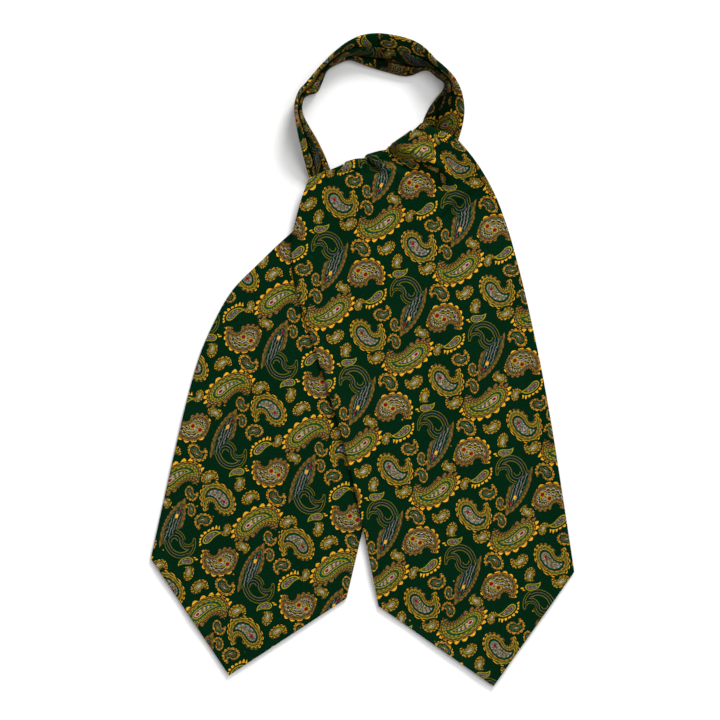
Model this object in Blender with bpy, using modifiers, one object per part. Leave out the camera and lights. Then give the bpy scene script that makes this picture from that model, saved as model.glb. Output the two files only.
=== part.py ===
"""Silk day cravat, laid out flat: a pleated neck band in a standing loop, and two wide pointed blades.

The left blade lies on the table. The right blade comes up through the loop, falls over the crossing
and lies across the left one. Each blade is a bag of two silk plies, a face and a back, sewn all round.
Sizes are in millimetres up to the mesh, which is in metres. X is to the right, Y towards the neck loop,
Z up from the table, and the origin is at the middle of the cravat's outline on the table.
"""

import math

import bmesh
import bpy
from mathutils import Vector

MM = 0.001

# Driving dimensions
PLY = 1.0  # one silk ply of a blade, with its turned edge
SEAM_GAP = 0.3  # between pieces where they are sewn or lie on each other
PLY_GAP = 0.5  # between a blade's two plies
BLADE_THICK = 2 * PLY + PLY_GAP
POINT_DEPTH = 79.0  # from a blade's corners down to its point
BAND_WALL = 1.1  # the doubled silk of the pleated band
PLEAT_PITCH = 1.75  # from one folded layer of the band to the next
LAYERS = 3  # the steps of that pitch from the band's outer face to its innermost fold
LAP_START = 13.0  # how far past the left blade's edge the right one starts to come down
LAP_SPREAD = 16.0  # how far it takes to reach the table
HUMP_LENGTH = 78.0  # how far the right blade takes to come down from the crossing
ROLL_DEPTH = 6.0  # how far the roll over the crossing bulges towards the neck
RETURN_LENGTH = 9.0  # the stretch that runs on under the roll
POINT_ROWS = 2.2  # the last rows of a blade, over which the cross rows take on its point
CREST_ROWS = 3.2  # the first rows of the right blade, over which they take on the crest's outline

FLAT_MID = BLADE_THICK / 2  # the middle of a blade that lies on the table
LAP_RISE = BLADE_THICK + SEAM_GAP  # how much higher a blade lies on another

# The left blade from its neck end down to its corners: both edges of each cross row
LEFT_ROWS = [
    {"left_x": 42.1, "left_y": 166.9, "right_x": 71.7, "right_y": 161.9},
    {"left_x": 23.2, "left_y": 152.4, "right_x": 73.6, "right_y": 138.8},
    {"left_x": -4.0, "left_y": 136.4, "right_x": 68.8, "right_y": 116.4},
    {"left_x": -32.8, "left_y": 120.4, "right_x": 61.6, "right_y": 92.4},
    {"left_x": -58.4, "left_y": 101.2, "right_x": 53.6, "right_y": 68.4},
    {"left_x": -84.0, "left_y": 77.2, "right_x": 45.6, "right_y": 46.0},
    {"left_x": -105.6, "left_y": 54.6, "right_x": 38.4, "right_y": 20.4},
    {"left_x": -121.3, "left_y": 26.0, "right_x": 31.2, "right_y": -7.6},
    {"left_x": -132.8, "left_y": -2.8, "right_x": 23.7, "right_y": -34.0},
    {"left_x": -146.2, "left_y": -54.0, "right_x": 11.6, "right_y": -85.2},
    {"left_x": -169.6, "left_y": -158.4, "right_x": -13.2, "right_y": -190.2},
]

# The right blade below its crest, down to its corners
RIGHT_ROWS = [
    {"left_x": -43.2, "left_y": 145.5, "right_x": 75.7, "right_y": 176.2},
    {"left_x": -48.4, "left_y": 131.6, "right_x": 87.2, "right_y": 162.8},
    {"left_x": -52.8, "left_y": 116.4, "right_x": 97.6, "right_y": 147.6},
    {"left_x": -56.6, "left_y": 99.6, "right_x": 106.4, "right_y": 130.8},
    {"left_x": -57.4, "left_y": 82.0, "right_x": 113.2, "right_y": 113.2},
    {"left_x": -54.8, "left_y": 61.2, "right_x": 119.2, "right_y": 94.4},
    {"left_x": -42.8, "left_y": 22.0, "right_x": 129.2, "right_y": 55.6},
    {"left_x": -25.2, "left_y": -33.6, "right_x": 141.6, "right_y": -1.2},
    {"left_x": -11.2, "left_y": -84.0, "right_x": 150.8, "right_y": -51.6},
    {"left_x": 0.0, "left_y": -134.5, "right_x": 159.4, "right_y": -106.0},
    {"left_x": 12.5, "left_y": -196.4, "right_x": 169.0, "right_y": -169.0},
]

# The right blade's crest, where it turns over the crossing, and its rise above lying flat
CREST = [
    {"across": 0.00, "x": -43.2, "y": 145.5, "rise": 13.5},
    {"across": 0.08, "x": -34.4, "y": 149.6, "rise": 12.5},
    {"across": 0.16, "x": -24.0, "y": 153.2, "rise": 11.0},
    {"across": 0.26, "x": -12.8, "y": 158.0, "rise": 10.0},
    {"across": 0.38, "x": 2.4, "y": 162.6, "rise": 9.5},
    {"across": 0.50, "x": 19.2, "y": 169.6, "rise": 10.5},
    {"across": 0.60, "x": 31.2, "y": 177.6, "rise": 14.0},
    {"across": 0.70, "x": 41.6, "y": 185.2, "rise": 17.0},
    {"across": 0.78, "x": 48.4, "y": 190.0, "rise": 19.0},
    {"across": 0.87, "x": 58.4, "y": 184.4, "rise": 19.0},
    {"across": 0.94, "x": 67.2, "y": 181.6, "rise": 18.6},
    {"across": 1.00, "x": 75.7, "y": 176.2, "rise": 17.6},
]
ROLL_FROM, ROLL_TO = 0.24, 0.68  # the stretch of the crest that comes up out of the loop

# Pleats that fan out from the crest. Going down a line, a ridge is on its left and a trough on its right.
PLEATS = [
    {"x": 17.0, "y": 170.0, "to_x": 78.0, "to_y": 132.0, "trough": 4.6, "ridge": 3.6, "width": 6.0},
    {"x": 2.0, "y": 163.0, "to_x": 26.0, "to_y": 118.0, "trough": 2.4, "ridge": 2.2, "width": 5.0},
    {"x": -27.0, "y": 152.0, "to_x": -31.0, "to_y": 112.0, "trough": 1.8, "ridge": 1.6, "width": 4.0},
    {"x": 34.0, "y": 172.0, "to_x": 64.0, "to_y": 92.0, "trough": 1.2, "ridge": 1.4, "width": 7.0},
]

# The neck band round its loop, from its left end clockwise: its top edge, its foot towards the neck,
# and how high it stands. It lies nearly flat at both ends, where it is crossed.
BAND = [
    {"top_x": -34.6, "top_y": 128.6, "foot_x": -17.0, "foot_y": 136.4, "height": 7.5},
    {"top_x": -39.2, "top_y": 137.2, "foot_x": -21.6, "foot_y": 143.6, "height": 8.5},
    {"top_x": -43.6, "top_y": 147.6, "foot_x": -26.4, "foot_y": 153.6, "height": 12.5},
    {"top_x": -47.2, "top_y": 161.0, "foot_x": -31.0, "foot_y": 165.0, "height": 23.0},
    {"top_x": -51.1, "top_y": 176.4, "foot_x": -37.4, "foot_y": 178.0, "height": 32.0},
    {"top_x": -53.4, "top_y": 188.4, "foot_x": -44.0, "foot_y": 189.0, "height": 36.0},
    {"top_x": -54.9, "top_y": 198.8, "foot_x": -48.3, "foot_y": 199.0, "height": 38.0},
    {"top_x": -53.8, "top_y": 208.4, "foot_x": -47.7, "foot_y": 207.6, "height": 38.5},
    {"top_x": -50.6, "top_y": 216.0, "foot_x": -44.0, "foot_y": 211.6, "height": 38.0},
    {"top_x": -45.3, "top_y": 221.8, "foot_x": -36.4, "foot_y": 214.4, "height": 37.5},
    {"top_x": -39.2, "top_y": 229.2, "foot_x": -32.0, "foot_y": 223.2, "height": 38.0},
    {"top_x": -32.4, "top_y": 236.8, "foot_x": -28.2, "foot_y": 231.6, "height": 38.5},
    {"top_x": -23.2, "top_y": 245.8, "foot_x": -19.0, "foot_y": 237.2, "height": 38.0},
    {"top_x": -12.6, "top_y": 254.0, "foot_x": -10.4, "foot_y": 239.8, "height": 37.5},
    {"top_x": -0.8, "top_y": 259.4, "foot_x": -0.4, "foot_y": 236.6, "height": 36.0},
    {"top_x": 12.0, "top_y": 261.0, "foot_x": 10.2, "foot_y": 233.0, "height": 34.5},
    {"top_x": 25.6, "top_y": 259.4, "foot_x": 21.4, "foot_y": 229.8, "height": 33.5},
    {"top_x": 36.6, "top_y": 256.6, "foot_x": 31.6, "foot_y": 227.4, "height": 33.5},
    {"top_x": 45.2, "top_y": 252.6, "foot_x": 39.4, "foot_y": 228.0, "height": 35.0},
    {"top_x": 52.4, "top_y": 246.6, "foot_x": 47.0, "foot_y": 231.0, "height": 37.0},
    {"top_x": 58.2, "top_y": 240.2, "foot_x": 52.6, "foot_y": 231.2, "height": 38.0},
    {"top_x": 65.2, "top_y": 234.2, "foot_x": 58.8, "foot_y": 226.0, "height": 38.0},
    {"top_x": 71.8, "top_y": 227.4, "foot_x": 64.4, "foot_y": 221.6, "height": 38.0},
    {"top_x": 76.8, "top_y": 219.4, "foot_x": 63.4, "foot_y": 216.0, "height": 36.5},
    {"top_x": 79.8, "top_y": 210.2, "foot_x": 58.0, "foot_y": 209.2, "height": 34.0},
    {"top_x": 81.0, "top_y": 200.2, "foot_x": 52.6, "foot_y": 201.6, "height": 30.0},
    {"top_x": 80.0, "top_y": 190.0, "foot_x": 48.6, "foot_y": 193.0, "height": 24.0},
    {"top_x": 77.6, "top_y": 180.6, "foot_x": 46.4, "foot_y": 184.8, "height": 16.5},
    {"top_x": 74.2, "top_y": 170.6, "foot_x": 43.8, "foot_y": 175.2, "height": 10.5},
    {"top_x": 71.8, "top_y": 162.4, "foot_x": 42.2, "foot_y": 167.4, "height": 8.0},
]
UPRIGHT_SLACK = 0.15  # how much wider than its layers a section that stands upright shows
ROUNDS = 4  # of fitting a section, whose folds are rounded, into the width that shows
BACK_SEAM = 15  # the row of BAND at the seam behind the neck
BACK_SPACING = 13.0  # between the rows there

# The band's folded section: height from the foot as a share of the width, and the layer it lies in
BAND_FOLDS = [
    {"height": 0.505, "layer": 0.0},
    {"height": 0.663, "layer": 0.0},
    {"height": 0.820, "layer": 0.0},
    {"height": 0.979, "layer": 0.0},
    {"height": 1.000, "layer": 0.5},
    {"height": 0.979, "layer": 1.0},
    {"height": 0.820, "layer": 1.0},
    {"height": 0.663, "layer": 1.0},
    {"height": 0.510, "layer": 1.0},
    {"height": 0.489, "layer": 1.5},
    {"height": 0.510, "layer": 2.0},
    {"height": 0.663, "layer": 2.0},
    {"height": 0.684, "layer": 2.5},
    {"height": 0.663, "layer": 3.0},
    {"height": 0.450, "layer": 3.0},
    {"height": 0.340, "layer": 1.0},
    {"height": 0.196, "layer": 1.0},
    {"height": 0.175, "layer": 1.5},
    {"height": 0.196, "layer": 2.0},
    {"height": 0.310, "layer": 2.0},
    {"height": 0.331, "layer": 2.5},
    {"height": 0.310, "layer": 3.0},
    {"height": 0.150, "layer": 3.0},
    {"height": 0.045, "layer": 1.3},
    {"height": 0.021, "layer": 1.0},
    {"height": 0.000, "layer": 0.5},
    {"height": 0.021, "layer": 0.0},
    {"height": 0.196, "layer": 0.0},
    {"height": 0.340, "layer": 0.0},
    {"height": 0.490, "layer": 0.0},
]

# The hidden wrapped stretch, from the band's left end to under the crest: both edges, and its height
WRAP = [
    {"low_x": -34.4, "low_y": 128.2, "high_x": -16.8, "high_y": 136.0, "height": 5.0},
    {"low_x": -23.0, "low_y": 117.5, "high_x": -12.0, "high_y": 138.5, "height": 5.0},
    {"low_x": -7.0, "low_y": 114.5, "high_x": -3.0, "high_y": 143.0, "height": 4.6},
    {"low_x": 13.0, "low_y": 120.0, "high_x": 8.0, "high_y": 150.0, "height": 4.2},
    {"low_x": 34.0, "low_y": 129.0, "high_x": 24.0, "high_y": 159.0, "height": 4.6},
    {"low_x": 52.0, "low_y": 137.5, "high_x": 43.0, "high_y": 163.0, "height": 4.4},
    {"low_x": 63.0, "low_y": 142.5, "high_x": 58.0, "high_y": 159.5, "height": 3.6},
]

# One side of its section, as three folded layers: how far in from the edge, and the share of the height
WRAP_SIDE = [
    {"inward": 1.4, "share": 0.00},
    {"inward": 0.0, "share": 0.16},
    {"inward": 1.4, "share": 0.33},
    {"inward": 0.6, "share": 0.50},
    {"inward": 2.0, "share": 0.66},
    {"inward": 1.6, "share": 0.82},
    {"inward": 4.0, "share": 0.98},
]

FACE_SILK = (0.058, 0.063, 0.015, 1.0)
BACK_SILK = (0.035, 0.055, 0.018, 1.0)
SILK_ROUGHNESS = 0.55


def spline(table, keys, at):
    """The values of the keys at a place between the rows of a table, on a smooth curve through them."""
    last = len(table) - 1
    i = min(int(at), last - 1)
    part = at - i
    rows = [table[max(0, min(last, i + k))] for k in (-1, 0, 1, 2)]
    return [catmull_rom([row[key] for row in rows], part) for key in keys]


def catmull_rom(values, part):
    before, start, end, after = values
    slope_in = (end - before) / 2
    slope_out = (after - start) / 2
    square, cube = part**2, part**3
    return (
        (2 * cube - 3 * square + 1) * start
        + (cube - 2 * square + part) * slope_in
        + (3 * square - 2 * cube) * end
        + (cube - square) * slope_out
    )


def crest_at(across):
    """The crest's x, y and rise at a share of the blade's width."""
    for i in range(len(CREST) - 1):
        low, high = CREST[i]["across"], CREST[i + 1]["across"]
        if across <= high or i == len(CREST) - 2:
            return spline(CREST, ("x", "y", "rise"), i + (across - low) / (high - low))


def smooth_step(share):
    share = max(0.0, min(1.0, share))
    return share * share * (3 - 2 * share)


def left_blade_edge(y):
    """Where the left blade's hidden right edge lies at a height on the table."""
    for upper, lower in zip(LEFT_ROWS, LEFT_ROWS[1:]):
        if y >= lower["right_y"]:
            part = (upper["right_y"] - y) / (upper["right_y"] - lower["right_y"])
            return upper["right_x"] + min(part, 1.0) * (lower["right_x"] - upper["right_x"])
    return LEFT_ROWS[-1]["right_x"] + 2.0 * (y - LEFT_ROWS[-1]["right_y"])


def lap(x, y):
    """1 where the right blade lies on the left one, 0 where it lies on the table."""
    return smooth_step(1 - (x - left_blade_edge(y) - LAP_START) / LAP_SPREAD)


def pleat_rise(x, y):
    """How far the pleats lift or sink the right blade at a place."""
    rise = 0.0
    for pleat in PLEATS:
        start = Vector((pleat["x"], pleat["y"]))
        along = Vector((pleat["to_x"], pleat["to_y"])) - start
        share = (Vector((x, y)) - start).dot(along) / along.length_squared
        side = along.normalized().cross(Vector((x, y)) - start) / pleat["width"]
        fade = smooth_step(1 - share) * smooth_step(1 + share * 2)
        rise += fade * pleat["ridge"] * math.exp(-((side - 0.9) ** 2))
        rise -= fade * pleat["trough"] * math.exp(-(((side + 0.6) / 0.9) ** 2))
    return rise


def cross_row(table, at, across, point_share):
    """A point of a blade's outline plane. The lower rows take on the blade's point by degrees."""
    left_x, left_y, right_x, right_y = spline(table, ("left_x", "left_y", "right_x", "right_y"), at)
    left, right = Vector((left_x, left_y)), Vector((right_x, right_y))
    down = Vector((left_y - right_y, right_x - left_x)).normalized() * -1
    return left.lerp(right, across) + down * POINT_DEPTH * point_share * (1 - abs(2 * across - 1))


def point_share(at, last):
    """How much of the blade's point a cross row has taken on: all of it in the last row."""
    return smooth_step((at - last + POINT_ROWS) / POINT_ROWS) ** 1.5


def left_blade_points(rows, columns):
    """The middle surface of the left blade, row by row from its neck end."""
    last = len(LEFT_ROWS) - 1
    grid = []
    for i in range(rows + 1):
        at = last * i / rows
        share = point_share(at, last)
        row = [cross_row(LEFT_ROWS, at, j / columns, share) for j in range(columns + 1)]
        grid.append([Vector((p.x, p.y, FLAT_MID)) for p in row])
    return grid


def right_blade_points(rows, columns):
    """The middle surface of the right blade, row by row, with None where it has no cloth.

    The first rows run under the crossing and up round the roll over it, between the two ends of the
    band. The others run from the crest to the point, closer together near the crest."""
    last = len(RIGHT_ROWS) - 1
    body = []
    for i in range(rows + 1):
        at = last * (i / rows) ** 1.15
        body.append([body_point(at, j / columns, point_share(at, last)) for j in range(columns + 1)])
    roll = []
    for angle in (-90, -55, -20, 20, 55):
        roll.append([roll_point(body[0][j], j / columns, angle) for j in range(columns + 1)])
    end = [under_point(foot) for foot in roll[0]]
    return [end, *roll, *body]


def inset_at(across):
    """How far the roll's top lies back from the crest's outline."""
    share = (across - ROLL_FROM) / (ROLL_TO - ROLL_FROM)
    if not 0 <= share <= 1:
        return 0.0
    return max(SEAM_GAP, ROLL_DEPTH * math.sin(math.pi * share) ** 0.6)


def body_point(at, across, share):
    """A point of the right blade: down from the crest, over the left blade, and onto the table."""
    plan = cross_row(RIGHT_ROWS, at, across, share)
    crest_x, crest_y, rise = crest_at(across)
    crest = Vector((crest_x, crest_y - inset_at(across)))
    plan += (crest - cross_row(RIGHT_ROWS, 0, across, 0)) * smooth_step(1 - at / CREST_ROWS)
    drop = min(1.0, (crest - plan).length / HUMP_LENGTH)
    hump = rise * (1 - smooth_step(drop))
    z = FLAT_MID + LAP_RISE * lap(plan.x, plan.y) + hump + pleat_rise(plan.x, plan.y)
    return Vector((plan.x, plan.y, max(z, FLAT_MID)))


def roll_point(top, across, angle):
    """A point on the roll: from the table at -90 degrees round to its top at 90."""
    if not ROLL_FROM <= across <= ROLL_TO:
        return None
    half_height = (top.z - FLAT_MID) / 2
    out = inset_at(across) * math.cos(math.radians(angle))
    z = FLAT_MID + half_height * (1 + math.sin(math.radians(angle)))
    return Vector((top.x, top.y + out, z))


def under_point(foot):
    """The end of the stretch that runs on under the roll, from the roll's foot."""
    return foot and Vector((foot.x, foot.y - RETURN_LENGTH, FLAT_MID))


def silk(name, colour):
    material = bpy.data.materials.new(name)
    material.use_nodes = True
    shader = material.node_tree.nodes["Principled BSDF"]
    shader.inputs["Base Color"].default_value = colour
    shader.inputs["Roughness"].default_value = SILK_ROUGHNESS
    shader.inputs["Metallic"].default_value = 0.0
    return material


def add_object(name, mesh_points, faces, colour, collection):
    """A mesh object in silk from points in millimetres, with its faces turned outwards."""
    shape = bmesh.new()
    made = [shape.verts.new(p * MM) for p in mesh_points]
    for face in faces:
        shape.faces.new([made[k] for k in face])
    bmesh.ops.recalc_face_normals(shape, faces=shape.faces)
    mesh = bpy.data.meshes.new(name)
    shape.to_mesh(mesh)
    shape.free()
    mesh.shade_smooth()
    mesh.set_sharp_from_angle(angle=math.radians(40))
    mesh.materials.append(silk(name + " silk", colour))
    obj = bpy.data.objects.new(name, mesh)
    collection.objects.link(obj)
    return obj


def grid_normal(grid, i, j):
    """The outward normal of a grid of points at one of them."""

    def neighbour(row, column):
        inside = 0 <= row < len(grid) and 0 <= column < len(grid[0])
        return (inside and grid[row][column]) or grid[i][j]

    across = neighbour(i, j + 1) - neighbour(i, j - 1)
    up = neighbour(i - 1, j) - neighbour(i + 1, j)
    return across.cross(up).normalized()


def sheet(name, grid, lift, colour, collection):
    """One ply: the grid's surface moved out by lift along its normals, made a wall by Solidify."""
    index, points, faces = {}, [], []
    for i, row in enumerate(grid):
        for j, point in enumerate(row):
            if point is not None:
                index[i, j] = len(points)
                points.append(point + grid_normal(grid, i, j) * lift)
    for i in range(len(grid) - 1):
        for j in range(len(grid[0]) - 1):
            corners = [(i, j), (i + 1, j), (i + 1, j + 1), (i, j + 1)]
            if all(c in index for c in corners):
                faces.append([index[c] for c in corners])
    obj = add_object(name, points, faces, colour, collection)
    wall = obj.modifiers.new("ply", "SOLIDIFY")
    wall.thickness = PLY * MM
    wall.offset = 0.0
    return obj


def band_ring(width, pitch):
    """The folded section as a closed ring of (height from the foot, distance in from the outer face)."""
    line = [Vector((f["height"] * width, f["layer"] * pitch)) for f in BAND_FOLDS]
    near, far = [], []
    for k, point in enumerate(line):
        before = (point - line[k - 1]).normalized() if k else None
        after = (line[k + 1] - point).normalized() if k < len(line) - 1 else None
        along = ((before or after) + (after or before)).normalized()
        across = Vector((-along.y, along.x))
        reach = BAND_WALL / 2 / max(0.6, along.dot(after or before))
        near.append(point + across * reach)
        far.append(point - across * reach)
    return near + far[::-1]


def band_set(shown, height, depth):
    """The lean from lying flat, and the folded width, of a section with this plan width and height."""
    low, high = 0.0, math.pi / 2
    for _ in range(50):
        lean = (low + high) / 2
        full_width = (shown - depth * math.sin(lean)) / math.cos(lean)
        if full_width * math.sin(lean) + depth * math.cos(lean) < height:
            low = lean
        else:
            high = lean
    return lean, full_width - BAND_WALL


def band_station(at):
    """The section's ring of points at a place along the band, standing or leaning on the table."""
    top_x, top_y, foot_x, foot_y, height = spline(BAND, ("top_x", "top_y", "foot_x", "foot_y", "height"), at)
    top = Vector((top_x, top_y, 0))
    outward = top - Vector((foot_x, foot_y, 0))
    shown = outward.length
    outward.normalize()
    pitch = min(PLEAT_PITCH, (shown - BAND_WALL - UPRIGHT_SLACK) / LAYERS)
    boxed = shown
    for _ in range(ROUNDS):
        lean, width = band_set(boxed, height, LAYERS * pitch + BAND_WALL)
        up = outward * math.cos(lean) + Vector((0, 0, math.sin(lean)))
        inward = Vector((0, 0, math.cos(lean))) - outward * math.sin(lean)
        loose = [up * p.x + inward * p.y for p in band_ring(width, pitch)]
        reach = [p.dot(outward) for p in loose]
        boxed += shown - (max(reach) - min(reach))
    rise = -min(p.z for p in loose)
    return [top - outward * max(reach) + p + Vector((0, 0, rise)) for p in loose]


def loft(name, rings, colour, collection):
    """A closed solid through rings of points, with a flat face at each end.

    Each four-sided patch is split from its lower to its upper side, so that layers stay parallel."""
    size = len(rings[0])
    faces = [list(range(size)), [(len(rings) - 1) * size + m for m in range(size)]]
    for k in range(len(rings) - 1):
        for m in range(size):
            n = (m + 1) % size
            low, high = (m, n) if rings[k][m].z < rings[k][n].z else (n, m)
            near_low, near_high = k * size + low, k * size + high
            far_low, far_high = near_low + size, near_high + size
            faces += [[near_low, far_low, far_high], [near_low, far_high, near_high]]
    return add_object(name, [p for ring in rings for p in ring], faces, colour, collection)


def band_rings(start, end, steps):
    return [band_station(start + (end - start) * k / steps) for k in range(steps + 1)]


def wrap_ring(at):
    """The wrap's section at a place along it: layered sides and a slightly crowned top."""
    keys = ("low_x", "low_y", "high_x", "high_y", "height")
    low_x, low_y, high_x, high_y, height = spline(WRAP, keys, at)
    low, high = Vector((low_x, low_y)), Vector((high_x, high_y))
    width = (high - low).length

    def place(inward, share):
        plan = low.lerp(high, inward / width)
        return Vector((plan.x, plan.y, LAP_RISE + height * share))

    low_side = [place(p["inward"], p["share"]) for p in WRAP_SIDE]
    high_side = [place(width - p["inward"], p["share"]) for p in WRAP_SIDE]
    return low_side + [place(width / 2, 1.08)] + high_side[::-1]


def main():
    for old in list(bpy.data.objects):
        bpy.data.objects.remove(old)
    collection = bpy.data.collections.new("silk cravat")
    bpy.context.scene.collection.children.link(collection)
    ply_lift = (PLY + PLY_GAP) / 2

    left = left_blade_points(rows=18, columns=10)
    sheet("left_blade_face", left, ply_lift, FACE_SILK, collection)
    sheet("left_blade_back", left, -ply_lift, BACK_SILK, collection)

    right = right_blade_points(rows=24, columns=24)
    sheet("right_blade_face", right, ply_lift, FACE_SILK, collection)
    sheet("right_blade_back", right, -ply_lift, BACK_SILK, collection)

    half_gap = SEAM_GAP / 2 / BACK_SPACING
    left_half = band_rings(0, BACK_SEAM - half_gap, steps=32)
    loft("neck_band_left", left_half, FACE_SILK, collection)
    right_half = band_rings(BACK_SEAM + half_gap, len(BAND) - 1, steps=30)
    loft("neck_band_right", right_half, FACE_SILK, collection)

    wrap = [wrap_ring((len(WRAP) - 1) * k / 12) for k in range(13)]
    loft("crossing_wrap", wrap, FACE_SILK, collection)


main()
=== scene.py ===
"""Looks of a silk day cravat, laid out flat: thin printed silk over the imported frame.

Each blade is a closed shell, a face and a back sewn together all round. The neck band is a strip pressed
into lengthwise pleats, in a standing loop. The print is a repeat of plain paisley drops, made by formula in
the material's nodes. Forms are in millimetres up to the mesh, in the frame's own axes.
"""

import math

import bmesh
import bpy
from mathutils import Matrix, Vector, kdtree, noise
from mathutils.bvhtree import BVHTree


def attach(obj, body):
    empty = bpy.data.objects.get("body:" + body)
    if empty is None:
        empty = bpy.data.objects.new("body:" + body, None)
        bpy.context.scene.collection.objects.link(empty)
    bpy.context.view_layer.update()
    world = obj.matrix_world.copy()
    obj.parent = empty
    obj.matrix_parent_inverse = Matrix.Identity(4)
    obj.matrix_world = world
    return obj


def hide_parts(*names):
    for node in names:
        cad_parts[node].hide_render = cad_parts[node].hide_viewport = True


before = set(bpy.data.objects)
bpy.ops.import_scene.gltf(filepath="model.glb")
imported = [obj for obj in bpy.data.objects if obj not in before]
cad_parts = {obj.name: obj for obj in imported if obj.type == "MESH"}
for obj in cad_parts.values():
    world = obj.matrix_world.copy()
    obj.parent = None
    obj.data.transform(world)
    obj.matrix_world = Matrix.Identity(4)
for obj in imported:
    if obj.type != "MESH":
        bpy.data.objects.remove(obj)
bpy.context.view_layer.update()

MM = 0.001


def rows_of(names, *rows):
    """The rows of a table as dicts, with the names of their values given once."""
    return [dict(zip(names.split(), row)) for row in rows]


# The forms of the source, in millimetres
BLADE_THICK = 2.5
SEAM_GAP = 0.3
SEWN_GAP = 0.002  # between the band's halves, where they are sewn
POINT_DEPTH = 79.0  # from a blade's corners down to its point
BAND_WALL = 1.1  # the doubled silk of the pleated band
PLEAT_PITCH = 1.75  # from one folded layer of the band to the next
LAYERS = 3
LAP_START = 13.0  # how far past the left blade's edge the right one starts to come down
LAP_SPREAD = 16.0
HUMP_LENGTH = 78.0  # how far the right blade takes to come down from the crossing
ROLL_DEPTH = 6.0  # how far the roll over the crossing bulges towards the neck
ROLL_LEAST = 1.6
RETURN_LENGTH = 9.0
POINT_ROWS = 2.2
CREST_ROWS = 3.2
ROLL_POWER = 0.6  # how blunt the roll's ends are
POINT_POWER = 1.5
FLAT_MID = BLADE_THICK / 2
LAP_RISE = BLADE_THICK + SEAM_GAP

# The left blade from its neck end down to its corners: both edges of each cross row
LEFT_ROWS = rows_of(
    "left_x left_y right_x right_y",
    (42.1, 166.9, 71.7, 161.9),
    (23.2, 152.4, 73.6, 138.8),
    (-4.0, 136.4, 68.8, 116.4),
    (-32.8, 120.4, 61.6, 92.4),
    (-58.4, 101.2, 53.6, 68.4),
    (-84.0, 77.2, 45.6, 46.0),
    (-105.6, 54.6, 38.4, 20.4),
    (-121.3, 26.0, 31.2, -7.6),
    (-132.8, -2.8, 23.7, -34.0),
    (-146.2, -54.0, 11.6, -85.2),
    (-169.6, -158.4, -13.2, -190.2),
)

# The right blade below its crest, down to its corners
RIGHT_ROWS = rows_of(
    "left_x left_y right_x right_y",
    (-43.2, 145.5, 75.7, 176.2),
    (-48.4, 131.6, 87.2, 162.8),
    (-52.8, 116.4, 97.6, 147.6),
    (-56.6, 99.6, 106.4, 130.8),
    (-57.4, 82.0, 113.2, 113.2),
    (-54.8, 61.2, 119.2, 94.4),
    (-42.8, 22.0, 129.2, 55.6),
    (-25.2, -33.6, 141.6, -1.2),
    (-11.2, -84.0, 150.8, -51.6),
    (0.0, -134.5, 159.4, -106.0),
    (12.5, -196.4, 169.0, -169.0),
)

# The right blade's crest, where it turns over the crossing, and its rise above lying flat
CREST = rows_of(
    "across x y rise",
    (0.00, -43.2, 145.5, 13.5),
    (0.08, -34.4, 149.6, 12.5),
    (0.16, -24.0, 153.2, 11.0),
    (0.26, -12.8, 158.0, 10.0),
    (0.38, 2.4, 162.6, 9.5),
    (0.50, 19.2, 169.6, 10.5),
    (0.60, 31.2, 177.6, 14.0),
    (0.70, 41.6, 185.2, 17.0),
    (0.78, 48.4, 190.0, 19.0),
    (0.87, 58.4, 184.4, 19.0),
    (0.94, 67.2, 181.6, 18.6),
    (1.00, 75.7, 176.2, 17.6),
)
ROLL_FROM, ROLL_TO = 0.24, 0.68

# Folds that run from the crest down the right blade. A fold's lip is on its path's left, going down, and
# rises beside the trough on its right. lip and trough are heights, width and hollow how wide those two are.
# The shares of the path at which a fold has grown and starts to fade are fade_in and fade_from.
FOLDS = rows_of(
    "path lip trough lip_at trough_at width hollow fade_in fade_from",
    ([(18.6, 172.6), (32.6, 165.6), (47.2, 160.2), (61.4, 151.6), (70.0, 136.0)],
     8.2, 10.4, 3.2, 5.2, 4.5, 6.2, 0.0, 0.78),
    ([(1.0, 165.0), (7.2, 157.8), (14.0, 153.6), (25.0, 150.0)],
     5.2, 6.8, 2.8, 3.2, 3.6, 4.2, 0.0, 0.5),
    ([(-20.0, 151.4), (-8.0, 152.2), (4.0, 153.0), (10.0, 153.0)],
     1.8, 2.8, 2.2, 1.6, 2.6, 2.6, 0.0, 0.6),
    ([(50.0, 101.0), (60.0, 111.0), (72.0, 124.0), (84.0, 134.0), (94.0, 140.0)],
     1.9, 2.6, 2.6, 2.6, 3.4, 4.0, 0.35, 0.6),
    ([(-27.0, 153.0), (-30.0, 138.0), (-31.0, 118.0)],
     1.4, 1.8, 3.0, 2.5, 4.0, 4.0, 0.0, 0.3),
    ([(34.0, 172.0), (48.0, 140.0), (64.0, 92.0)],
     1.2, 0.9, 6.0, 5.0, 8.0, 8.0, 0.0, 0.2),
    ([(24.0, 151.0), (36.0, 128.0), (40.0, 96.0)],
     0.8, 0.7, 5.0, 5.0, 7.0, 7.0, 0.0, 0.2),
)

# How far the cloth slopes down to the crest, by the share of the blade's width, and over what length
SHOULDER = rows_of(
    "across drop",
    (0.0, 0.0), (0.20, 0.0), (0.28, 6.5), (0.46, 5.5), (0.60, 7.0), (0.72, 5.0), (0.82, 1.0), (1.0, 0.0),
)
SHOULDER_LENGTH = 10.0
NOTCHES = (2.6, 19.6)  # where the crest's outline steps, by X
NOTCH_DEPTH = 1.7
NOTCH_LEFT, NOTCH_RIGHT = 5.0, 6.0  # how far a step reaches to each side
NOTCH_RETURN = 0.5  # how much of its depth a step stands out on the right

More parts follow.
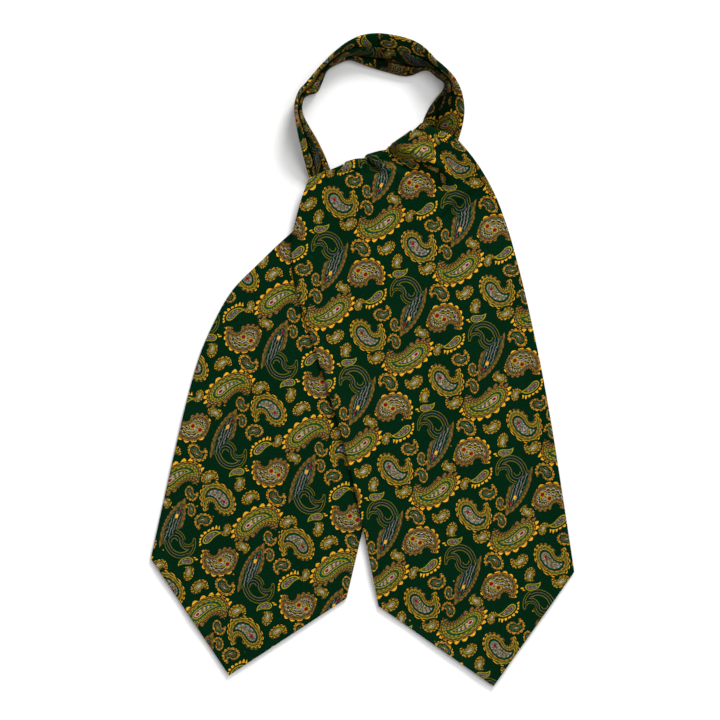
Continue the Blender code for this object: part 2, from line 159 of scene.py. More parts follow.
# The neck band round its loop, from its left end clockwise: its top edge, its foot and its height
BAND = rows_of(
    "top_x top_y foot_x foot_y height",
    (-34.6, 128.6, -17.0, 136.4, 7.5),
    (-39.2, 137.2, -21.6, 143.6, 8.5),
    (-43.6, 147.6, -26.4, 153.6, 12.5),
    (-47.2, 161.0, -31.0, 165.0, 23.0),
    (-51.1, 176.4, -37.4, 178.0, 32.0),
    (-53.4, 188.4, -44.0, 189.0, 36.0),
    (-54.9, 198.8, -48.3, 199.0, 38.0),
    (-53.8, 208.4, -47.7, 207.6, 38.5),
    (-50.6, 216.0, -44.0, 211.6, 38.0),
    (-45.3, 221.8, -36.4, 214.4, 37.5),
    (-39.2, 229.2, -32.0, 223.2, 38.0),
    (-32.4, 236.8, -28.2, 231.6, 38.5),
    (-23.2, 245.8, -19.0, 237.2, 38.0),
    (-12.6, 254.0, -10.4, 239.8, 37.5),
    (-0.8, 259.4, -0.4, 236.6, 36.0),
    (12.0, 261.0, 10.2, 233.0, 34.5),
    (25.6, 259.4, 21.4, 229.8, 33.5),
    (36.6, 256.6, 31.6, 227.4, 33.5),
    (45.2, 252.6, 39.4, 228.0, 35.0),
    (52.4, 246.6, 47.0, 231.0, 37.0),
    (58.2, 240.2, 52.6, 231.2, 38.0),
    (65.2, 234.2, 58.8, 226.0, 38.0),
    (71.8, 227.4, 64.4, 221.6, 38.0),
    (76.8, 219.4, 63.4, 216.0, 36.5),
    (79.8, 210.2, 58.0, 209.2, 34.0),
    (81.0, 200.2, 52.6, 201.6, 30.0),
    (80.0, 190.0, 48.6, 193.0, 24.0),
    (77.6, 180.6, 46.4, 184.8, 16.5),
    (74.2, 170.6, 43.8, 175.2, 10.5),
    (71.8, 162.4, 42.2, 167.4, 8.0),
)
UPRIGHT_SLACK = 0.15
ROUNDS = 4
BACK_SEAM = 15  # the row of BAND at the seam behind the neck
BACK_SPACING = 13.0

# The band's folded section: height from the foot as a share of the width, and the layer it lies in
BAND_FOLDS = rows_of(
    "height layer",
    (0.505, 0.0), (0.663, 0.0), (0.820, 0.0), (0.979, 0.0), (1.000, 0.5), (0.979, 1.0), (0.820, 1.0),
    (0.663, 1.0), (0.510, 1.0), (0.489, 1.5), (0.510, 2.0), (0.663, 2.0), (0.684, 2.5), (0.663, 3.0),
    (0.450, 3.0), (0.340, 1.0), (0.196, 1.0), (0.175, 1.5), (0.196, 2.0), (0.310, 2.0), (0.331, 2.5),
    (0.310, 3.0), (0.150, 3.0), (0.045, 1.3), (0.021, 1.0), (0.000, 0.5), (0.021, 0.0), (0.196, 0.0),
    (0.340, 0.0), (0.490, 0.0),
)

INSIDE_FOLDS = (9, 25)  # the points of that list between which the folds lie next to the neck

# The hidden wrapped stretch, from the band's left end to under the crest
WRAP = rows_of(
    "low_x low_y high_x high_y height",
    (-34.4, 128.2, -16.8, 136.0, 5.0),
    (-23.0, 117.5, -12.0, 138.5, 5.0),
    (-7.0, 114.5, -3.0, 143.0, 4.6),
    (13.0, 120.0, 8.0, 150.0, 4.2),
    (34.0, 129.0, 24.0, 159.0, 4.6),
    (52.0, 137.5, 43.0, 163.0, 4.4),
    (63.0, 142.5, 58.0, 159.5, 3.6),
)
WRAP_CROWN = 1.08  # the height of the wrap's middle, against its sides
WRAP_SIDE = rows_of(
    "inward share",
    (1.4, 0.00), (0.0, 0.16), (1.4, 0.33), (0.6, 0.50), (2.0, 0.66), (1.6, 0.82), (4.0, 0.98),
)

# How finely the shells are meshed
EDGE_STEPS = (0.0, 0.1, 0.4, 0.9, 1.6)  # rows next to an edge, by their distance from it
EDGE_ROUND = 1.6  # over how far a shell's edge rounds off
EDGE_LIFT = 2.8  # how far a blade's sewn edges stand off the table
EDGE_LIFT_WIDTH = 9.0
LIFT_START = 5.0  # how many rows above a blade's last one the edges start to lift
LIFT_ROWS = 2.0  # over how many rows the lift grows
EDGE_WAVES = {"least": 0.75, "more": 0.5, "length": 30.0, "seed": 8.2}
POINT_REACH = 0.8  # the share of a row's distance that counts as distance from the point
WAVES = {"length": 46.0, "seed": 1.7}
FINE_WAVES = {"length": 17.0, "seed": 5.1, "share": 0.25}
EASE_LEFT, EASE_RIGHT = 0.3, 0.5  # heights of the soft waves
ROW_LENGTH = 107.0  # between the last two rows of a blade's outline
ROW_SPREAD = 1.3  # the rows next to an edge are this much farther apart than the columns
ROLL_ANGLES = range(76, -91, -8)  # in degrees, from the roll's top down to the table
RIM_STEP = 0.4  # between the samples of a shell's rim
LOWEST = 0.02  # for a shell's under side
ABOVE_ALL = 60.0  # from here the pieces below are looked for
CORNER_CUT = 0.25
HALVINGS = 50
BAKE_SIZE = 800.0  # the map that the looks can be baked to, in millimetres
BAKE_CORNER = (200.0, 290.0)
BACK_OFFSET = 400.0
END_ROOM, END_AT, END_STEP = 60.0, 30.0, 40.0  # where a loft's ends lie on that map
LEFT_MESH = {"rows": 150, "columns": 76, "power": 1.0}
RIGHT_MESH = {"rows": 210, "columns": 110, "power": 1.1}
BAND_STATIONS = 90
WRAP_STATIONS = 60

# The print's repeat, along its own two directions, which run at an angle to the blades
REPEAT = (72.5, 82.1)
REPEAT_TURN = math.radians(-29.8)
LEFT_SHIFT = (20.0, 30.0)  # of the print on the left blade
FOLDED_TURN = math.radians(45)  # of the print on the band and the crossing
NO_SHIFT = (0.0, 0.0)
# Painted shade: how far the silk's colour is darkened on each band's folds next to the neck
PAINTED_SHADE_LEVELS = {"band_left": 0.62, "band_right": 0.42}

# Colours of the print
GROUND = (0.0002, 0.0122, 0.0034, 1.0)
GOLD = (0.320, 0.148, 0.012, 1.0)
BRIGHT_GOLD = (0.550, 0.265, 0.013, 1.0)
OLIVE = (0.090, 0.077, 0.009, 1.0)
LIME = (0.215, 0.185, 0.011, 1.0)
BROWN = (0.040, 0.018, 0.006, 1.0)
TAN = (0.140, 0.067, 0.018, 1.0)
TEAL = (0.001, 0.050, 0.027, 1.0)
CREAM = (0.27, 0.215, 0.165, 1.0)
RED = (0.150, 0.002, 0.008, 1.0)
SLATE = (0.066, 0.055, 0.058, 1.0)

# Styles of drop. bend is the radius that the tail curls round and tail its length, against a fat end of
# radius 1. petals is how far bright petals reach out. A band starts at its distance from the outline,
# where -1 is the middle. Where it has two colours, they take turns along it, as often as beads says.
STYLES = {
    "dotted": {
        "bend": 1.1, "tail": 3.4, "beads": 17.0, "petals": 0.10,
        "bands": [(-1.0, OLIVE), (-0.60, CREAM, SLATE), (-0.52, TEAL), (-0.43, GROUND), (-0.30, TAN, GOLD),
                  (-0.22, OLIVE), (-0.12, GROUND, OLIVE), (-0.04, LIME, OLIVE), (0.04, BROWN, GOLD)],
    },
    "petalled": {
        "bend": 1.6, "tail": 3.3, "beads": 19.0, "petals": 0.34,
        "bands": [(-1.0, LIME, OLIVE), (-0.86, CREAM, SLATE), (-0.72, GROUND), (-0.64, LIME),
                  (-0.55, BROWN, OLIVE), (-0.48, TEAL), (-0.40, GROUND), (-0.34, OLIVE, LIME),
                  (-0.24, BROWN, OLIVE), (-0.16, LIME, OLIVE), (-0.06, GROUND, TEAL), (0.0, TAN, BROWN),
                  (0.08, BROWN, GOLD)],
    },
    "zigzag": {
        "bend": 1.2, "tail": 2.9, "beads": 16.0, "petals": 0.20,
        "bands": [(-1.0, CREAM, OLIVE), (-0.86, GROUND, CREAM), (-0.78, CREAM, GROUND), (-0.70, BROWN),
                  (-0.62, LIME), (-0.54, GROUND, BROWN), (-0.44, CREAM, GROUND), (-0.34, GROUND, CREAM),
                  (-0.25, OLIVE, TAN), (-0.14, BROWN, TEAL), (-0.06, TAN, BROWN), (0.04, GROUND, TAN),
                  (0.09, GOLD, TAN)],
    },
    "leaf": {
        "bend": 3.2, "tail": 2.1, "beads": 15.0, "petals": 0.0,
        "bands": [(-1.0, SLATE, GROUND), (-0.40, GROUND, TEAL), (-0.26, TAN, BROWN), (-0.16, BROWN, OLIVE),
                  (-0.04, OLIVE, TAN), (0.05, BROWN, TAN)],
    },
    "small": {
        "bend": 1.2, "tail": 2.4, "beads": 9.0, "petals": 0.14,
        "bands": [(-1.0, CREAM), (-0.66, OLIVE, GROUND), (-0.50, LIME), (-0.34, GROUND, BROWN),
                  (-0.20, OLIVE), (-0.05, GOLD, BROWN)],
    },
    "sun": {
        "bend": 2.0, "tail": 3.0, "beads": 10.0, "petals": 0.80,
        "bands": [(-1.0, SLATE), (-0.64, CREAM, OLIVE), (-0.52, GROUND), (-0.34, LIME), (-0.12, GROUND)],
    },
    "ring": {
        "bend": 1.1, "tail": 2.8, "beads": 8.0, "petals": 0.12,
        "bands": [(-1.0, CREAM, SLATE), (-0.82, GROUND, OLIVE), (-0.62, TEAL, GROUND), (-0.50, OLIVE, TEAL),
                  (-0.36, GROUND), (-0.12, TAN, GOLD)],
    },
    "scroll": {
        "bend": 1.0, "tail": 3.0, "beads": 1.9, "petals": 0.0,
        "bands": [(-1.0, GROUND), (-0.74, OLIVE, GROUND), (-0.66, GROUND), (-0.54, GROUND, OLIVE),
                  (-0.46, SLATE, OLIVE), (-0.45, SLATE, GROUND), (-0.38, GROUND), (-0.28, GROUND, SLATE),
                  (-0.20, GROUND), (-0.16, OLIVE, GROUND), (-0.08, GROUND), (-0.02, GROUND, OLIVE),
                  (0.05, GROUND), (0.06, OLIVE, GROUND), (0.13, GROUND)],
    },
}
STYLE_NUMBERS = {name: float(number) for number, name in enumerate(STYLES)}
STYLE_STEPS = 16  # on the scale that a style's number is looked up on
STYLE_MATCH = 0.1  # how near a style's number counts as that style

# Places of the drops in one repeat: the middle, the turn in degrees, the half width and half length of
# the fat end, which side the tail curls to, and the style
DROPS = rows_of(
    "x y turn half_width half_length side style",
    (65, 20, 238, 7.0, 9.6, -1, "dotted"),
    (30, 23, 162, 6.6, 11.6, 1, "petalled"),
    (40, 61, 340, 7.6, 8.8, 1, "zigzag"),
    (17, 54, 5, 6.4, 11.0, 1, "leaf"),
    (2, 66, 40, 8.0, 8.6, -1, "scroll"),
    (7, 8, 160, 3.3, 4.3, 1, "small"),
    (58, 0, 190, 3.0, 4.3, -1, "small"),
    (55, 50, 165, 3.4, 5.6, 1, "sun"),
    (67, 41, 280, 3.8, 4.3, -1, "ring"),
    (26, 77, 60, 4.0, 5.2, -1, "ring"),
    (43, 6, 165, 3.3, 4.6, 1, "small"),
    (14, 26, 40, 2.9, 4.0, -1, "ring"),
    (29, 44, 100, 3.2, 4.0, 1, "small"),
    (62, 76, 300, 3.2, 4.4, -1, "sun"),
    (48, 38, 20, 2.4, 3.2, 1, "small"),
    (8, 38, 200, 2.5, 3.3, -1, "ring"),
)
DROP_MIDDLE = Vector((0.45, 0.30, 0.0))  # of a whole drop, from the middle of its fat end
LEAF_ROUND = 2.5  # radius of each side of a leaf, against a half width of 1
LEAF_MIDDLE = 0.5
OUTLINE = 0.16  # how far outside its line a drop's coloured edge reaches
MOST = 5.0  # bends and tails are carried as shares of this
MOST_BEADS = 25.0
TAPER = 0.999 * math.pi / 2  # how far along a cosine the tail gets narrow
TAPER_POWER = 1.5

# Round spots in a drop's own places: the styles that have them, where, their radius and their colour
HEART = [(0.0, -0.05)]
EYES = [(0.42, 0.30), (-0.40, 0.02)]
SPOTS = rows_of(
    "styles places radius colour",
    (["petalled"], HEART, 0.26, CREAM),
    (["dotted", "petalled", "small", "sun", "ring"], HEART, 0.15, RED),
    (["zigzag"], EYES, 0.30, LIME),
    (["zigzag"], EYES, 0.20, RED),
    (["leaf"], [(0.05, -0.25)], 0.17, BRIGHT_GOLD),
    (["leaf"], [(-0.08, -0.72)], 0.14, RED),
)

# What fills the dotted drops and the leaves, inward of a distance from the outline
FILIGREE_EDGE = -0.60
FILIGREE_SCALE = 0.42
FILIGREE = [(0.0, LIME), (0.24, GROUND), (0.33, SLATE), (0.48, OLIVE), (0.62, CREAM), (0.72, SLATE)]
FEATHER_EDGE = -0.40
FEATHER_STRIPES = (19.0, 4.0, 0.0)  # waves across and along the leaf
FEATHER_BENDS = {"scale": 0.35, "size": 9.0}
FEATHER = [(-1.0, GROUND), (0.0, TEAL), (0.30, SLATE), (0.97, CREAM)]

# Petals round the drops, and loose dots between them
PETALS_FROM = 0.22  # from the outline
PETAL_WAVES = 8.0
PETAL_FLOOR = 0.34  # the share of a wave that lies below the petals
PETAL_GAIN = 1.3
DOT_SCALE = 0.085
DOT_RADIUS = 0.055

# The silk: its woven flecks, its broad clouds of tone and its ribs
FLECKS = {"scale": 0.9, "detail": 3.0}
CLOUDS = {"scale": 0.03, "detail": 1.0}
FLECK_TONE = {"gain": 2.25, "base": -0.10}
CLOUD_TONE = {"gain": 0.3, "base": 0.85}
ROUGHNESS = {"gain": 0.16, "base": 0.50}
RIB_SCALE = 0.55
RIB_STRETCH = (1.0, 0.8, 1.0)
RIB_SHARE = 0.5
BUMP_STRENGTH = 0.25
BUMP_DEPTH = 0.00012
SPECULAR = 0.012

# Camera and light
CAMERA_AT = (-0.0024, 0.0004, 8.0)
LENS = 500.0
SENSOR = 36.0
FARTHEST = 20.0
SKY_STRENGTH = 0.65
FLOOR_SIZE = 3.0
FLOOR_AT = (0.0, 0.0, -0.0002)
FLOOR_COLOUR = (0.80, 0.80, 0.80, 1.0)
FLOOR_ROUGHNESS = 0.9
LIGHTS = rows_of(
    "name at size watts",
    ("key light", (1.10, 1.05, 4.0), 1.5, 62.0),
    ("side light", (0.95, 2.35, 2.28), 1.0, 94.0),
)


def spline(table, keys, at):
    """The values of the keys at a place between the rows of a table, on a smooth curve through them."""
    last = len(table) - 1
    i = min(int(at), last - 1)
    part = at - i
    rows = [table[max(0, min(last, i + k))] for k in (-1, 0, 1, 2)]
    return [catmull_rom([row[key] for row in rows], part) for key in keys]


def catmull_rom(values, part):
    before, start, end, after = values
    slope_in = (end - before) / 2
    slope_out = (after - start) / 2
    square, cube = part**2, part**3
    return (
        (2 * cube - 3 * square + 1) * start
        + (cube - 2 * square + part) * slope_in
        + (3 * square - 2 * cube) * end
        + (cube - square) * slope_out
    )


def crest_at(across):
    """The crest's x, y and rise at a share of the blade's width."""
    for i in range(len(CREST) - 1):
        low, high = CREST[i]["across"], CREST[i + 1]["across"]
        if across <= high or i == len(CREST) - 2:
            return spline(CREST, ("x", "y", "rise"), i + (across - low) / (high - low))


def smooth_step(share):
    share = max(0.0, min(1.0, share))
    return share * share * (3 - 2 * share)


def left_blade_edge(y):
    """Where the left blade's hidden right edge lies at a height on the table."""
    for upper, lower in zip(LEFT_ROWS, LEFT_ROWS[1:]):
        if y >= lower["right_y"]:
            part = (upper["right_y"] - y) / (upper["right_y"] - lower["right_y"])
            return upper["right_x"] + min(part, 1.0) * (lower["right_x"] - upper["right_x"])
    return LEFT_ROWS[-1]["right_x"] + 2.0 * (y - LEFT_ROWS[-1]["right_y"])


def lap(x, y):
    """1 where the right blade lies on the left one, 0 where it lies on the table."""
    return smooth_step(1 - (x - left_blade_edge(y) - LAP_START) / LAP_SPREAD)


def fold_rise(x, y):
    """How far the folds lift or sink the right blade at a place."""
    rise = 0.0
    point = Vector((x, y))
    for fold in FOLDS:
        path = [Vector(place) for place in fold["path"]]
        nearest, side, share = 1e9, 0.0, 0.0
        for k, (start, end) in enumerate(zip(path, path[1:])):
            along = end - start
            part = max(0.0, min(1.0, (point - start).dot(along) / along.length_squared))
            away = point - start - along * part
            if away.length < nearest:
                nearest = away.length
                side = math.copysign(nearest, along.cross(away))
                share = (k + part) / (len(path) - 1)
        fade = smooth_step((1 - share) / (1 - fold["fade_from"]))
        if fold["fade_in"]:
            fade *= smooth_step(share / fold["fade_in"])
        rise += fade * fold["lip"] * math.exp(-(((side - fold["lip_at"]) / fold["width"]) ** 2))
        rise -= fade * fold["trough"] * math.exp(-(((side + fold["trough_at"]) / fold["hollow"]) ** 2))
    return rise


def between(table, key, value, at):
    """A value of a table at a place between its rows, in a straight line."""
    for low, high in zip(table, table[1:]):
        if at <= high[key]:
            part = (at - low[key]) / (high[key] - low[key])
            return low[value] + part * (high[value] - low[value])
    return table[-1][value]


def notch_at(x):
    """How far the crest's outline lies back at a place, next to its steps."""
    back = 0.0
    for notch in NOTCHES:
        if x < notch:
            back += NOTCH_DEPTH * math.exp(-(((notch - x) / NOTCH_LEFT) ** 2))
        else:
            back -= NOTCH_RETURN * NOTCH_DEPTH * math.exp(-(((x - notch) / NOTCH_RIGHT) ** 2))
    return back


def cross_row(table, at, across, point_share):
    """A point of a blade's outline plane. The lower rows take on the blade's point by degrees."""
    left_x, left_y, right_x, right_y = spline(table, ("left_x", "left_y", "right_x", "right_y"), at)
    left, right = Vector((left_x, left_y)), Vector((right_x, right_y))
    down = Vector((left_y - right_y, right_x - left_x)).normalized() * -1
    return left.lerp(right, across) + down * POINT_DEPTH * point_share * (1 - abs(2 * across - 1))


def point_share(at, last):
    """How much of the blade's point a cross row has taken on: all of it in the last row."""
    return smooth_step((at - last + POINT_ROWS) / POINT_ROWS) ** POINT_POWER


def edge_spaced(count, length):
    """Shares from 0 to 1 of a length, evenly spaced but for close ones next to both ends."""
    near = [step / length for step in EDGE_STEPS]
    first, last = near[-1], 1 - near[-1]
    even = [first + (last - first) * k / count for k in range(1, count)]
    return near + even + [1 - share for share in near[::-1]]


def row_width(table, at):
    left_x, left_y, right_x, right_y = spline(table, ("left_x", "left_y", "right_x", "right_y"), at)
    return math.hypot(right_x - left_x, right_y - left_y)


def row_places(count, last, power, both_ends):
    """Places of the cross rows down a blade, close together next to its ends."""
    close = [step * ROW_SPREAD / ROW_LENGTH for step in EDGE_STEPS]
    first = close[-1] if both_ends else 0.0
    places = close[:-1] if both_ends else []
    span = last - close[-1] - first
    places += [first + span * (k / count) ** power for k in range(count + 1)]
    return places + [last - step for step in close[-2::-1]]


def inset_at(across):
    """How far the roll's top lies back from the crest's outline."""
    share = (across - ROLL_FROM) / (ROLL_TO - ROLL_FROM)
    if not 0 <= share <= 1:
        return 0.0
    return max(ROLL_LEAST, ROLL_DEPTH * math.sin(math.pi * share) ** ROLL_POWER)


def body_point(at, across, share):
    """A point of the right blade: down from the crest, over the left blade, and onto the table."""
    plan = cross_row(RIGHT_ROWS, at, across, share)
    crest_x, crest_y, rise = crest_at(across)
    crest = Vector((crest_x, crest_y - inset_at(across) - notch_at(crest_x)))
    plan += (crest - cross_row(RIGHT_ROWS, 0, across, 0)) * smooth_step(1 - at / CREST_ROWS)
    from_crest = (crest - plan).length
    hump = rise * (1 - smooth_step(from_crest / HUMP_LENGTH))
    slope = between(SHOULDER, "across", "drop", across) * (1 - smooth_step(from_crest / SHOULDER_LENGTH))
    z = FLAT_MID + LAP_RISE * lap(plan.x, plan.y) + hump - slope + fold_rise(plan.x, plan.y)
    return Vector((plan.x, plan.y, max(z + ease(plan.x, plan.y, EASE_RIGHT), FLAT_MID)))


def noise_at(x, y, waves):
    """A smooth noise on the plan, at the length and with the seed of some waves."""
    return noise.noise(Vector((x / waves["length"], y / waves["length"], waves["seed"])))


def ease(x, y, height):
    """Soft waves of cloth that doesn't lie quite flat."""
    fine = height * FINE_WAVES["share"] * noise_at(x, y, FINE_WAVES)
    return height * (0.5 + 0.5 * noise_at(x, y, WAVES)) + fine


def edge_lift(point, edges, rows_left):
    """How far a sewn edge lifts off what it lies on, near the sides and the point of the lower rows."""
    away = min((point - edge).length for edge in edges)
    away = min(away, rows_left * ROW_LENGTH * POINT_REACH)
    low = smooth_step((LIFT_START - rows_left) / LIFT_ROWS)
    waves = EDGE_WAVES["least"] + EDGE_WAVES["more"] * noise_at(point.x, point.y, EDGE_WAVES)
    return EDGE_LIFT * low * waves * math.exp(-((away / EDGE_LIFT_WIDTH) ** 2))


def left_blade_grid():
    """The left blade's middle surface and its flat pattern, row by row from its neck end."""
    last = len(LEFT_ROWS) - 1
    grid, flat = [], []
    for at in row_places(LEFT_MESH["rows"], last, LEFT_MESH["power"], True):
        share = point_share(at, last)
        row = [
            cross_row(LEFT_ROWS, at, across, share)
            for across in edge_spaced(LEFT_MESH["columns"], row_width(LEFT_ROWS, at))
        ]
        lifts = [ease(p.x, p.y, EASE_LEFT) + edge_lift(p, row[:1], last - at) for p in row]
        grid.append([Vector((p.x, p.y, FLAT_MID + lift)) for p, lift in zip(row, lifts)])
        flat.append([Vector((p.x, p.y)) for p in row])
    return grid, flat


def right_blade_grid(below):
    """The right blade's middle surface and its flat pattern, with None where it has no cloth.

    The first rows run under the crossing and up round the roll over it. below is what it lies on."""
    last = len(RIGHT_ROWS) - 1
    grid = []
    for at in row_places(RIGHT_MESH["rows"], last, RIGHT_MESH["power"], False):
        share = point_share(at, last)
        shares = edge_spaced(RIGHT_MESH["columns"], row_width(RIGHT_ROWS, at))
        row = [clear_of(below, body_point(at, across, share)) for across in shares]
        edges = (row[0].to_2d(), row[-1].to_2d())
        for point in row:
            point.z += edge_lift(point.to_2d(), edges, last - at)
        grid.append(row)
    flat = unfolded(grid)
    shares = edge_spaced(RIGHT_MESH["columns"], row_width(RIGHT_ROWS, 0))
    top, top_flat = grid[0], flat[0]
    roll, roll_flat = [], []
    for angle in ROLL_ANGLES:
        roll.append([roll_point(p, across, angle) for p, across in zip(top, shares)])
    for _ in range(2):
        roll.append([p and Vector((p.x, p.y - RETURN_LENGTH / 2, FLAT_MID)) for p in roll[-1]])
    lengths = [0.0] * len(shares)
    before = top
    for row in roll:
        unrolled = []
        for j, point in enumerate(row):
            if point is None:
                unrolled.append(None)
                continue
            lengths[j] += (point - before[j]).length
            unrolled.append(top_flat[j] + Vector((0, lengths[j])))
        roll_flat.append(unrolled)
        before = row
    return roll[::-1] + grid, roll_flat[::-1] + flat


def taken_up(start, end):
    """How much more cloth lies between two points than their distance on the table."""
    return (end - start).length - (end - start).to_2d().length


def unfolded(grid):
    """The flat pattern of a grid: its plan, with the cloth that its slopes take up laid out."""
    up = [0.0] * len(grid[0])
    flat = []
    for below, row in zip([grid[-1]] + grid[::-1], grid[::-1]):
        up = [before + taken_up(a, b) for before, a, b in zip(up, below, row)]
        side = [0.0]
        for a, b in zip(row, row[1:]):
            side.append(side[-1] + taken_up(a, b))
        along = (row[-1] - row[0]).to_2d().normalized()
        upward = Vector((-along.y, along.x))
        flat.append([p.to_2d() + along * k + upward * m for p, k, m in zip(row, side, up)])
    return flat[::-1]


def clear_of(below, point):
    """A point of the right blade, lifted where it would cut into the pieces below it."""
    for tree in below:
        hit = tree.ray_cast(Vector((point.x, point.y, ABOVE_ALL)) * MM, Vector((0, 0, -1)))[0]
        if hit is not None:
            point.z = max(point.z, hit.z / MM + FLAT_MID + SEAM_GAP)
    return point


def roll_point(top, across, angle):
    """A point on the roll: from the table at -90 degrees round to its top at 90."""
    if not ROLL_FROM <= across <= ROLL_TO:
        return None
    half_height = (top.z - FLAT_MID) / 2
    out = inset_at(across) * math.cos(math.radians(angle))
    z = FLAT_MID + half_height * (1 + math.sin(math.radians(angle)))
    return Vector((top.x, top.y + out, z))


def grid_normal(grid, i, j):
    """The outward normal of a grid of points at one of them."""

    def neighbour(row, column):
        inside = 0 <= row < len(grid) and 0 <= column < len(grid[0])
        return (inside and grid[row][column]) or grid[i][j]

    across = neighbour(i, j + 1) - neighbour(i, j - 1)
    up = neighbour(i - 1, j) - neighbour(i + 1, j)
    return across.cross(up).normalized()


def grid_cells(grid):
    """The corners of each four-sided cell that has cloth at all of them."""
    cells = []
    for i in range(len(grid) - 1):
        for j in range(len(grid[0]) - 1):
            corners = [(i, j), (i + 1, j), (i + 1, j + 1), (i, j + 1)]
            if all(grid[a][b] is not None for a, b in corners):
                cells.append(corners)
    return cells


def edge_distances(grid, cells):
    """A search tree of places along the edge of the cloth, and the grid's points on that edge."""
    uses = {}
    for corners in cells:
        for k in range(4):
            side = frozenset((corners[k], corners[(k + 1) % 4]))
            uses[side] = uses.get(side, 0) + 1
    rim = [tuple(side) for side, count in uses.items() if count == 1]
    samples = []
    for a, b in rim:
        start, end = grid[a[0]][a[1]], grid[b[0]][b[1]]
        steps = max(1, int((end - start).length / RIM_STEP))
        samples += [start.lerp(end, k / steps) for k in range(steps + 1)]
    tree = kdtree.KDTree(len(samples))
    for k, point in enumerate(samples):
        tree.insert(point, k)
    tree.balance()
    return tree, {corner for side in rim for corner in side}


def placed(name, data, at=(0.0, 0.0, 0.0)):
    """A new object in the scene."""
    obj = bpy.data.objects.new(name, data)
    obj.location = at
    bpy.context.scene.collection.objects.link(obj)
    return obj


def make_mesh(name, points, faces, corner_maps, material):
    """A smooth mesh object from points in millimetres. corner_maps gives each map's place per corner."""
    mesh = bpy.data.meshes.new(name)
    mesh.from_pydata([p * MM for p in points], [], faces)
    for map_name, places in corner_maps.items():
        layer = mesh.uv_layers.new(name=map_name)
        flat_list = [value for face in places for place in face for value in place]
        layer.data.foreach_set("uv", flat_list)
    mesh.shade_smooth()
    mesh.materials.append(material)
    return placed(name, mesh)


def to_print(place, turn, shift):
    """A place of the flat pattern in the print's own directions, in millimetres."""
    turned = Matrix.Rotation(turn, 2) @ Vector(place)
    return (turned.x + shift[0], turned.y + shift[1])


def shell(name, grid, flat, print_turn, print_shift, material):
    """A closed thin shell on a middle surface: a face and a back that meet in a rounded edge."""
    cells = grid_cells(grid)
    tree, rim = edge_distances(grid, cells)
    used = {corner for corners in cells for corner in corners}
    face_index, back_index, points = {}, {}, []
    for i, row in enumerate(grid):
        for j, point in enumerate(row):
            if (i, j) not in used:
                continue
            if (i, j) in rim:
                face_index[i, j] = back_index[i, j] = len(points)
                points.append(point)
                continue
            normal = grid_normal(grid, i, j)
            near = min(1.0, tree.find(point)[2] / EDGE_ROUND)
            half = BLADE_THICK / 2 * math.sqrt(1 - (1 - near) ** 2)
            face_index[i, j] = len(points)
            points.append(point + normal * half)
            back_index[i, j] = len(points)
            under = point - normal * half
            points.append(Vector((under.x, under.y, max(under.z, LOWEST))))
    faces, bake, printed = [], [], []
    for corners in cells:
        for index, offset, order in ((face_index, 0.0, 1), (back_index, BACK_OFFSET, -1)):
            ordered = corners[::order]
            faces.append([index[c] for c in ordered])
            places = [flat[a][b] for a, b in ordered]
            left, low = BAKE_CORNER
            bake.append([((p.x + left + offset) / BAKE_SIZE, (p.y + low) / BAKE_SIZE) for p in places])
            printed.append([to_print(p, print_turn, print_shift) for p in places])
    return make_mesh(name, points, faces, {"OFBake": bake, "print": printed}, material)


def rounded_line(line):
    """An open line with its corners cut, for softly pressed folds."""
    for _ in range(2):
        cut = [line[0]]
        for start, end in zip(line, line[1:]):
            cut += [start.lerp(end, CORNER_CUT), start.lerp(end, 1 - CORNER_CUT)]
        line = cut + [line[-1]]
    return line


def band_ring(width, pitch):
    """The folded section as a closed ring of (height from the foot, distance in from the outer face)."""
    line = rounded_line([Vector((f["height"] * width, f["layer"] * pitch)) for f in BAND_FOLDS])
    near, far = [], []
    for k, point in enumerate(line):
        before = (point - line[k - 1]).normalized() if k else None
        after = (line[k + 1] - point).normalized() if k < len(line) - 1 else None
        along = ((before or after) + (after or before)).normalized()
        across = Vector((-along.y, along.x))
        near.append(point + across * BAND_WALL / 2)
        far.append(point - across * BAND_WALL / 2)
    return near + far[::-1]


def band_set(shown, height, depth):
    """The lean from lying flat, and the folded width, of a section with this plan width and height."""
    low, high = 0.0, math.pi / 2
    for _ in range(HALVINGS):
        lean = (low + high) / 2
        full_width = (shown - depth * math.sin(lean)) / math.cos(lean)
        if full_width * math.sin(lean) + depth * math.cos(lean) < height:
            low = lean
        else:
            high = lean
    return lean, full_width - BAND_WALL


def band_station(at):
    """The section's ring of points at a place along the band, standing or leaning on the table."""
    top_x, top_y, foot_x, foot_y, height = spline(BAND, ("top_x", "top_y", "foot_x", "foot_y", "height"), at)
    top = Vector((top_x, top_y, 0))
    outward = top - Vector((foot_x, foot_y, 0))
    shown = outward.length
    outward.normalize()
    pitch = min(PLEAT_PITCH, (shown - BAND_WALL - UPRIGHT_SLACK) / LAYERS)
    boxed = shown
    for _ in range(ROUNDS):
        lean, width = band_set(boxed, height, LAYERS * pitch + BAND_WALL)
        up = outward * math.cos(lean) + Vector((0, 0, math.sin(lean)))
        inward = Vector((0, 0, math.cos(lean))) - outward * math.sin(lean)
        loose = [up * p.x + inward * p.y for p in band_ring(width, pitch)]
        reach = [p.dot(outward) for p in loose]
        boxed += shown - (max(reach) - min(reach))
    rise = -min(p.z for p in loose)
    return [top - outward * max(reach) + p + Vector((0, 0, rise)) for p in loose]


def wrap_ring(at):
    """The wrap's section at a place along it: layered sides and a slightly crowned top."""
    keys = ("low_x", "low_y", "high_x", "high_y", "height")
    low_x, low_y, high_x, high_y, height = spline(WRAP, keys, at)
    low, high = Vector((low_x, low_y)), Vector((high_x, high_y))
    width = (high - low).length

    def place(inward, share):
        plan = low.lerp(high, inward / width)
        return Vector((plan.x, plan.y, LAP_RISE + height * share))

    low_side = [place(p["inward"], p["share"]) for p in WRAP_SIDE]
    high_side = [place(width - p["inward"], p["share"]) for p in WRAP_SIDE]
    return low_side + [place(width / 2, WRAP_CROWN)] + high_side[::-1]


